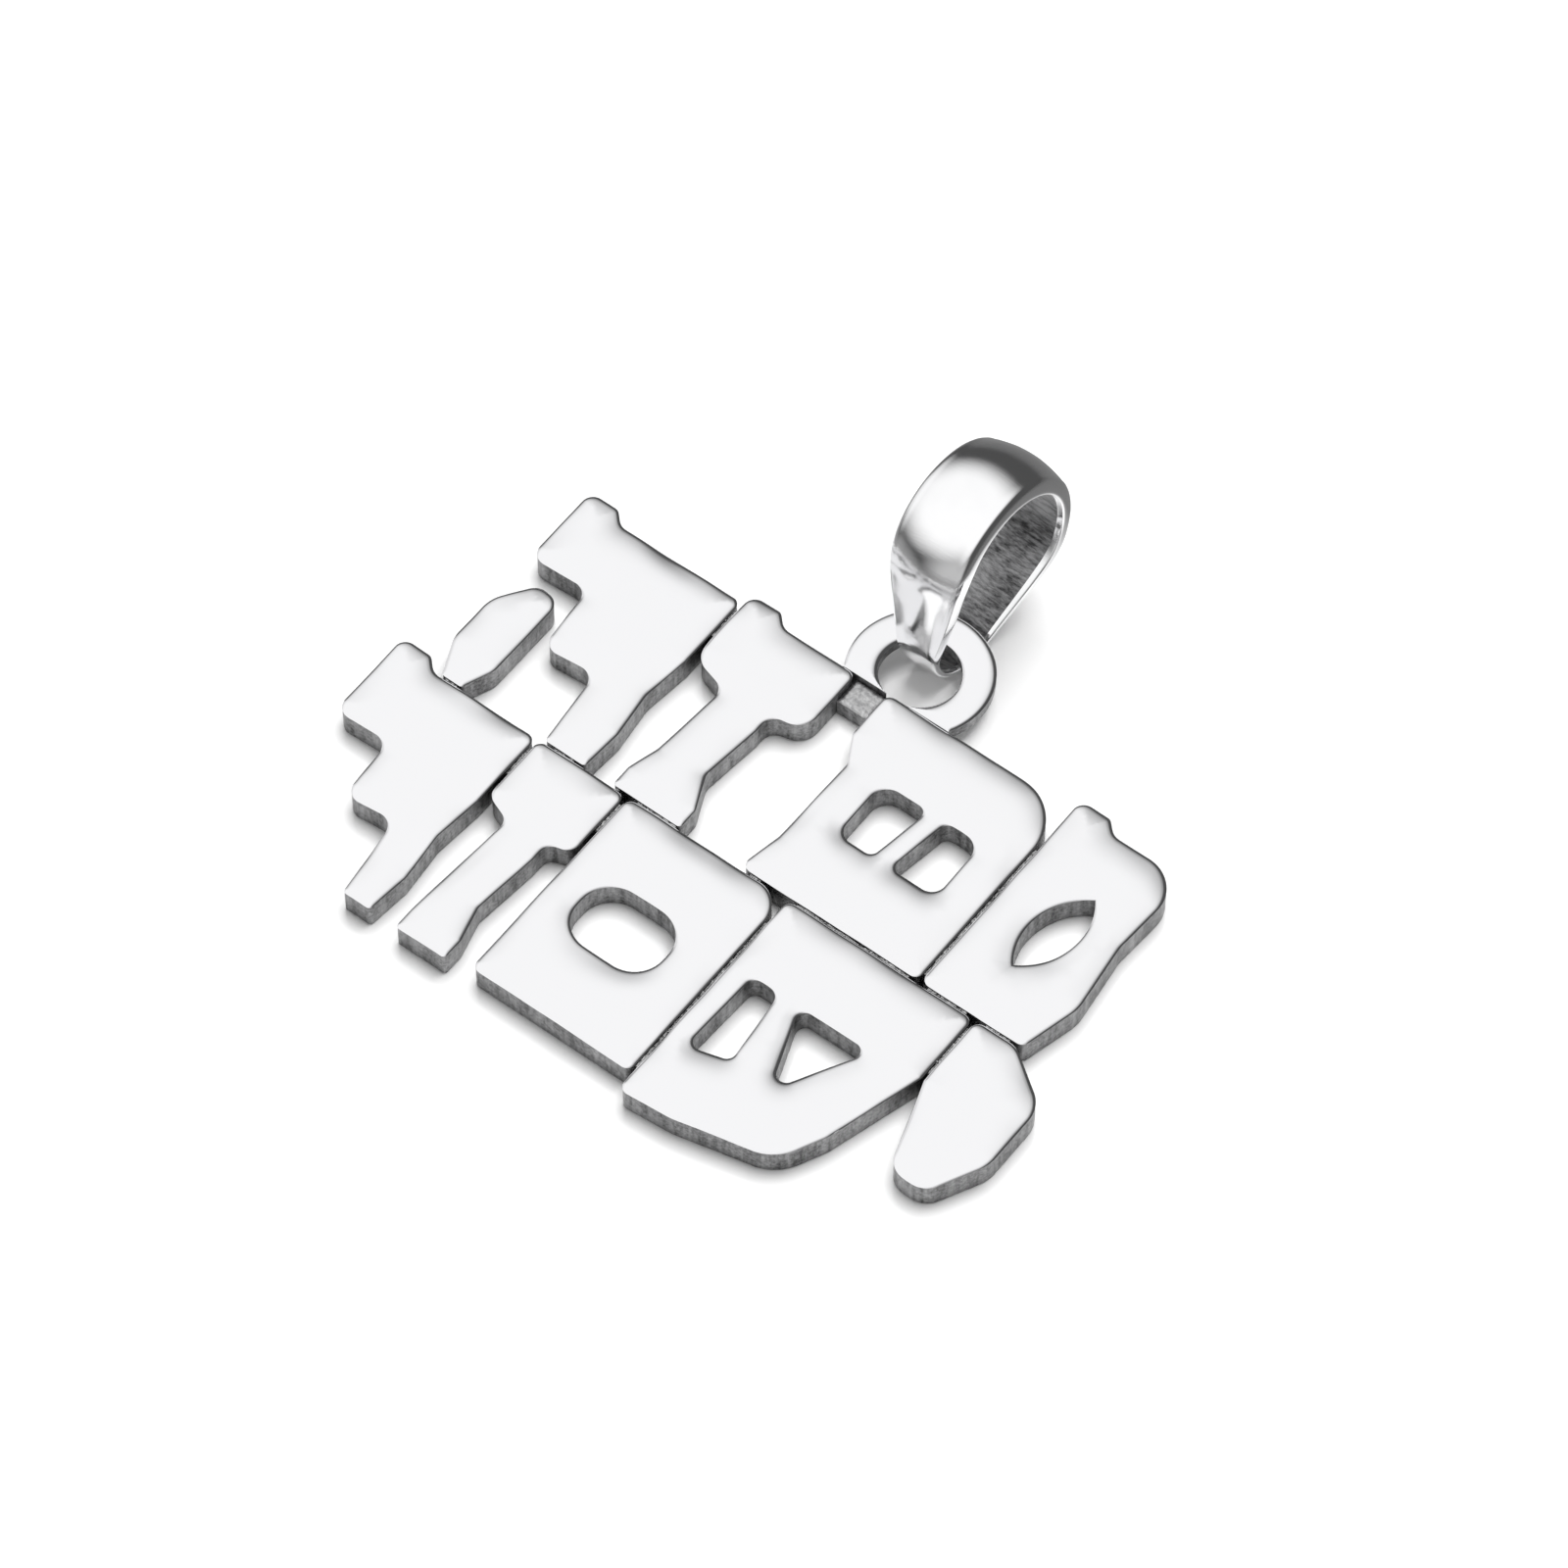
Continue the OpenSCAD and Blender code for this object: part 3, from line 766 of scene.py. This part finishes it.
class PENDANT_OT_ring(bpy.types.Operator):
    """Add the flat ring that's soldered to the top edge"""

    bl_idname = "pendant.ring"
    bl_label = "Ring"

    def execute(self, context):
        settings = context.scene.pendant_ring
        materials = plate_finishes(context.scene.pendant_finish)
        blocks = context.scene.pendant_blocks
        shape = rolled_plate("hanging_ring", settings.roll_width, settings.roll_drop, blocks, 3.0)
        add_piece("flat_ring", "plate", *shape, materials, "polished_silver", ["hanging_ring"])
        return {"FINISHED"}


# ---------------------------------------------------------------- solder


def separate_boxes(node):
    """The low and high corners of each separate solid in a CAD node, in millimetres."""
    shape = bmesh.new()
    shape.from_mesh(frame["nodes"][node].data)
    bmesh.ops.remove_doubles(shape, verts=shape.verts, dist=1e-7)
    left = set(shape.verts)
    boxes = []
    while left:
        group = [left.pop()]
        for vert in group:
            for edge in vert.link_edges:
                other = edge.other_vert(vert)
                if other in left:
                    left.remove(other)
                    group.append(other)
        cloud = np.array([v.co / MM for v in group])
        boxes.append((cloud.min(axis=0), cloud.max(axis=0)))
    shape.free()
    return sorted(boxes, key=lambda box: tuple(box[0]))


def lumpy_bead(low, high, rng, points, faces):
    """A bead of solder that fills a box, with a rough, sunken top."""
    size = high - low
    long_way = 0 if size[0] > size[1] else 1
    steps = max(4, int(size[long_way] / BEAD_STEP))
    across = BEAD_ACROSS
    first = len(points)
    for i in range(steps + 1):
        for j in range(across + 1):
            share = [0.0, 0.0]
            share[long_way] = i / steps
            share[1 - long_way] = j / across
            flat = low[:2] + BEAD_INSET + (size[:2] - 2 * BEAD_INSET) * np.array(share)
            lump = noise.noise(Vector((flat[0] * 6, flat[1] * 6, low[2] + 9)))
            sink = BEAD_SINK * (0.5 + 0.5 * lump) + BEAD_ROUGHNESS * rng.random()
            points.append((flat[0], flat[1], high[2] + SOLDER_RISE - min(sink, 0.6 * size[2])))
    floor = len(points)
    for x, y, _ in points[first:floor]:
        points.append((x, y, low[2] + BEAD_FLOOR))

    def cell(i, j, base):
        return base + i * (across + 1) + j

    turned = long_way == 1
    for base, flip in ((first, False), (floor, True)):
        for i in range(steps):
            for j in range(across):
                corners = ((i, j), (i + 1, j), (i + 1, j + 1), (i, j + 1))
                face = [cell(*corner, base) for corner in corners]
                faces.append(face[::-1] if flip != turned else face)
    rim = [(i, 0) for i in range(steps)] + [(steps, j) for j in range(across)]
    rim += [(i, across) for i in range(steps, 0, -1)] + [(0, j) for j in range(across, 0, -1)]
    for (a, b), (c, d) in zip(rim, rim[1:] + rim[:1]):
        face = [cell(a, b, floor), cell(c, d, floor), cell(c, d, first), cell(a, b, first)]
        faces.append(face[::-1] if turned else face)


def crumb(centre, radius, rng, points, faces):
    """A small rough grain of solder."""
    shape = bmesh.new()
    bmesh.ops.create_icosphere(shape, subdivisions=2, radius=radius)
    first = len(points)
    for vert in shape.verts:
        vert.co *= 0.75 + 0.5 * rng.random()
        points.append(tuple(vert.co + Vector(centre)))
    faces += [[first + v.index for v in face.verts] for face in shape.faces]
    shape.free()


def crumbs(low, high, rng, points, faces):
    """Grains of solder scattered along the top of a bead."""
    size = high - low
    for _ in range(int(2 + CRUMBS_PER_MM * max(size[:2]))):
        x, y = (low[i] + size[i] * (0.1 + 0.8 * rng.random()) for i in (0, 1))
        z = high[2] + SOLDER_RISE - 0.03 - 0.06 * rng.random()
        radius = 0.03 + 0.025 * rng.random()
        crumb((x, y, z), radius, rng, points, faces)


class PENDANT_OT_solder(bpy.types.Operator):
    """Add the solder in the seams and under the ring"""

    bl_idname = "pendant.solder"
    bl_label = "Solder"

    def execute(self, context):
        materials = [solder_grey(context.scene.pendant_finish)]
        rng = random.Random(4)
        for node in SOLDER_NODES:
            points = []
            faces = []
            for low, high in separate_boxes(node):
                lumpy_bead(low, high, rng, points, faces)
                crumbs(low, high, rng, points, faces)
            kinds = [0] * len(faces)
            add_piece("rough_" + node, "plate", points, faces, kinds, materials, "solder", [node], 60)
        return {"FINISHED"}


# ---------------------------------------------------------------- bail


def teardrop(s, count):
    """Stations round the bail: where its middle line is, along and across, and its outward angle."""
    side = math.asin((s.high_radius - s.low_radius) / s.span)
    turn = math.pi / 2 + side
    stations = []

    def arc(along, radius, start, end, n):
        for k in range(n):
            angle = start + (end - start) * k / n
            stations.append((along, radius, angle))

    def straight(angle, forward, n):
        for k in range(n):
            share = k / n if forward else 1 - k / n
            stations.append((s.span * share, s.low_radius + (s.high_radius - s.low_radius) * share, angle))

    arc(0.0, s.low_radius, turn, 2 * math.pi - turn, count // 4)
    straight(-turn, True, count // 8)
    arc(s.span, s.high_radius, -turn, turn, count // 2)
    straight(turn, False, count // 8)
    return stations


def strip_rise(s, run):
    """0 at the bail's narrow end, rising smoothly to 1 where its strip is widest."""
    share = (run + s.low_radius - s.rise_start) / (s.rise_end - s.rise_start)
    share = min(1.0, max(0.0, share)) ** RISE_POWER
    return share * share * (3 - 2 * share)


def bail_profile(half_width, thickness, crown, edge, inner):
    """One section of the strip, from its left edge over the outside and back along the inside.
    Each point is how far across, how far out from the outer face's edge, and whether it's inside."""
    section = []
    n = 16
    outer_steps = 6
    inner_steps = 4
    r = min(edge, 0.62 * thickness)
    q = min(inner, 0.3 * thickness)
    reach = half_width - r
    fall = crown * (1 - (reach / half_width) ** 2)
    for k in range(n + 1):
        v = (2 * k / n - 1) * reach / half_width
        section.append((v * half_width, crown * (1 - v * v), False))
    for k in range(1, outer_steps + 1):
        a = math.pi / 2 * (1 - k / outer_steps)
        section.append((reach + r * math.cos(a), (fall + r) * math.sin(a) - r, False))
    for k in range(inner_steps + 1):
        a = -math.pi / 2 * k / inner_steps
        section.append((half_width - q + q * math.cos(a), q - thickness + q * math.sin(a), False))
    for k in range(1, n):
        v = 1 - 2 * k / n
        section.append((v * (half_width - q), -thickness, True))
    edge_end = n + 2 + outer_steps + inner_steps
    mirrored = [(-x, y, within) for x, y, within in section[n + 1:edge_end]]
    return section + mirrored[::-1]


class PENDANT_OT_bail(bpy.types.Operator):
    """Add the tapered bail that swings on the ring"""

    bl_idname = "pendant.bail"
    bl_label = "Bail"

    def execute(self, context):
        s = context.scene.pendant_bail
        finish = context.scene.pendant_finish
        base = PIVOT / MM + Vector((0, s.ahead, s.above))
        lean = Matrix.Rotation(s.lean, 3, "X")
        pose = lean @ Matrix.Rotation(s.tip, 3, "Z") @ Matrix.Rotation(-s.turn, 3, "Y")
        points = []
        faces = []
        kinds = []
        stations = teardrop(s, BAIL_STATIONS)
        for along, radius, angle in stations:
            run = along + radius * math.cos(angle)
            rise = strip_rise(s, run)
            half_width = s.low_half_width + (s.high_half_width - s.low_half_width) * rise
            thickness = s.low_thickness + (s.high_thickness - s.low_thickness) * rise
            section = bail_profile(half_width, thickness, s.crown * rise, s.edge_radius, s.inner_radius)
            for x, out, _ in section:
                dent = BAIL_DENT * abs(noise.noise(Vector((x * 1.3, run * 1.1, angle * 0.8))))
                r = radius + out - dent - BAIL_INSET
                spot = Vector((x, along + r * math.cos(angle), r * math.sin(angle)))
                points.append(base + pose @ spot)
        n = len(stations)
        m = len(section)
        for i in range(n):
            for j in range(m):
                corners = [(i, j), ((i + 1) % n, j), ((i + 1) % n, (j + 1) % m), (i, (j + 1) % m)]
                faces.append([p * m + q for p, q in corners])
                # Faces inside the loop take the brushed finish with painted shade
                kinds.append(1 if section[j][2] and section[(j + 1) % m][2] else 0)
        materials = [bail_polished(finish), bail_brushed_shaded(finish)]
        shape = (points, faces, kinds, materials)
        bail = add_piece("tapered_bail", "bail", *shape, "bail_silver", ["bail"], 50)
        # Keeps the blocks' white fronts beside it free of its dark reflection
        bail.visible_glossy = False
        return {"FINISHED"}


# ---------------------------------------------------------------- stage


def aim(thing, target):
    """Turns a camera or light at a point."""
    thing.rotation_euler = (Vector(target) - thing.location).to_track_quat("-Z", "Y").to_euler()


def direction(azimuth, elevation):
    """The unit vector towards an azimuth and an elevation, where azimuth 0 lies along -Y."""
    flat = math.cos(elevation)
    return Vector((math.sin(azimuth) * flat, -math.cos(azimuth) * flat, math.sin(elevation)))


def soft_light(name, azimuth, elevation, distance, size, power):
    """A square soft light that points at the pendant, in degrees, metres and watts."""
    data = bpy.data.lights.new(name, "AREA")
    data.size = size
    data.energy = power
    light = bpy.data.objects.new(name, data)
    bpy.context.scene.collection.objects.link(light)
    light.visible_glossy = False
    light.location = direction(math.radians(azimuth), math.radians(elevation)) * distance
    aim(light, (0, 0, 0))
    return light


def soft_patch(tree, view, azimuth, elevation, outer, inner, brightness):
    """A round patch of light in the surround: full within the inner angle, none beyond the outer."""
    dot = tree.nodes.new("ShaderNodeVectorMath")
    dot.operation = "DOT_PRODUCT"
    tree.links.new(view, dot.inputs[0])
    dot.inputs[1].default_value = direction(math.radians(azimuth), math.radians(elevation))
    edge = tree.nodes.new("ShaderNodeMapRange")
    edge.interpolation_type = "SMOOTHSTEP"
    tree.links.new(dot.outputs["Value"], edge.inputs["Value"])
    edge.inputs["From Min"].default_value = math.cos(math.radians(outer))
    edge.inputs["From Max"].default_value = math.cos(math.radians(inner))
    edge.inputs["To Max"].default_value = brightness
    return edge.outputs["Result"]


def studio_world(azimuth):
    """An even surround for soft light, which polished metal sees as patches of light in the dark."""
    world = bpy.data.worlds.new("studio")
    bpy.context.scene.world = world
    world.use_nodes = True
    tree = world.node_tree
    background = tree.nodes["Background"]
    view = tree.nodes.new("ShaderNodeTexCoord").outputs["Generated"]
    tent = TENT_DARK
    for patch in TENT_PATCHES:
        tent = math_node(tree, "MAXIMUM", tent, soft_patch(tree, view, azimuth + patch[0], *patch[1:]))
    path = tree.nodes.new("ShaderNodeLightPath")
    colour = tree.nodes.new("ShaderNodeMix")
    colour.data_type = "RGBA"
    colour.inputs["A"].default_value = (SOFT_WHITE, SOFT_WHITE, SOFT_WHITE, 1)
    tree.links.new(tent, colour.inputs["B"])
    tree.links.new(path.outputs["Is Glossy Ray"], colour.inputs["Factor"])
    tree.links.new(colour.outputs["Result"], background.inputs["Color"])
    background.inputs["Strength"].default_value = WORLD_STRENGTH


def floor_material(colour):
    """A glossy white floor that polished metal sees as a pool of light with a dark rim."""
    material = bpy.data.materials.new("floor_gloss")
    material.use_nodes = True
    tree = material.node_tree
    shader = tree.nodes["Principled BSDF"]
    place = tree.nodes.new("ShaderNodeTexCoord")
    far = tree.nodes.new("ShaderNodeVectorMath")
    far.operation = "DISTANCE"
    tree.links.new(place.outputs["Object"], far.inputs[0])
    far.inputs[1].default_value = POOL_CENTRE
    pool = ramp_node(tree, far.outputs["Value"], POOL_FULL, POOL_END)
    path = tree.nodes.new("ShaderNodeLightPath")
    factor = math_node(tree, "MULTIPLY", pool, path.outputs["Is Glossy Ray"])
    shade = tree.nodes.new("ShaderNodeMix")
    shade.data_type = "RGBA"
    shade.inputs["A"].default_value = (*colour, 1)
    shade.inputs["B"].default_value = (POOL_RIM, POOL_RIM, POOL_RIM, 1)
    tree.links.new(factor, shade.inputs["Factor"])
    tree.links.new(shade.outputs["Result"], shader.inputs["Base Color"])
    shader.inputs["Roughness"].default_value = 0.08
    shader.inputs["IOR"].default_value = 1.6
    return material


class PENDANT_OT_stage(bpy.types.Operator):
    """Add the floor, the lights and the camera"""

    bl_idname = "pendant.stage"
    bl_label = "Stage"

    def execute(self, context):
        s = context.scene.pendant_stage
        floor_mesh = bpy.data.meshes.new("floor")
        reach = FLOOR_REACH
        corners = [(-reach, -reach, 0), (reach, -reach, 0), (reach, reach, 0), (-reach, reach, 0)]
        floor_mesh.from_pydata(corners, [], [(0, 1, 2, 3)])
        floor_mesh.materials.append(floor_material(s.floor_colour))
        floor = bpy.data.objects.new("floor", floor_mesh)
        context.scene.collection.objects.link(floor)

        azimuth = math.degrees(s.azimuth)
        studio_world(azimuth)
        soft_light("key_light", azimuth + 150, elevation=70, distance=0.5, size=0.36, power=2.9)

        camera_data = bpy.data.cameras.new("camera")
        camera_data.lens = s.lens
        camera_data.sensor_width = 36
        camera_data.clip_start = 0.01
        camera_data.clip_end = 10
        camera = bpy.data.objects.new("camera", camera_data)
        context.scene.collection.objects.link(camera)
        target = Vector(CAD_BOX[0]) + Vector(VIEW_CENTRE) * MM
        distance = s.view_width * MM * s.lens / camera_data.sensor_width
        camera.location = target + direction(s.azimuth, s.elevation) * distance
        aim(camera, target)
        context.scene.camera = camera
        context.scene.view_settings.view_transform = "Standard"
        return {"FINISHED"}


class PENDANT_PT_panel(bpy.types.Panel):
    """Buttons for the pendant's pieces, and their settings"""

    bl_label = "Pendant"
    bl_idname = "PENDANT_PT_panel"
    bl_space_type = "VIEW_3D"
    bl_region_type = "UI"
    bl_category = "Pendant"

    def draw(self, context):
        for operator in OPERATORS:
            self.layout.operator(operator.bl_idname)
        for name in SETTINGS:
            group = getattr(context.scene, name)
            box = self.layout.box()
            for prop in group.bl_rna.properties:
                if prop.identifier not in {"rna_type", "name"}:
                    box.prop(group, prop.identifier)


SETTINGS = {
    "pendant_blocks": PendantBlockSettings,
    "pendant_ring": PendantRingSettings,
    "pendant_bail": PendantBailSettings,
    "pendant_finish": PendantFinishSettings,
    "pendant_stage": PendantStageSettings,
}
OPERATORS = (
    PENDANT_OT_blocks,
    PENDANT_OT_tie_bar,
    PENDANT_OT_ring,
    PENDANT_OT_solder,
    PENDANT_OT_bail,
    PENDANT_OT_stage,
)


def register():
    for name, group in SETTINGS.items():
        bpy.utils.register_class(group)
        setattr(bpy.types.Scene, name, PointerProperty(type=group))
    for operator in OPERATORS:
        bpy.utils.register_class(operator)
    bpy.utils.register_class(PENDANT_PT_panel)


def unregister():
    bpy.utils.unregister_class(PENDANT_PT_panel)
    for operator in reversed(OPERATORS):
        bpy.utils.unregister_class(operator)
    for name, group in reversed(SETTINGS.items()):
        delattr(bpy.types.Scene, name)
        bpy.utils.unregister_class(group)


def main():
    register()
    bpy.ops.pendant.blocks()
    bpy.ops.pendant.tie_bar()
    bpy.ops.pendant.ring()
    bpy.ops.pendant.solder()
    bpy.ops.pendant.bail()
    bpy.ops.pendant.stage()


if __name__ == "__main__":
    main()
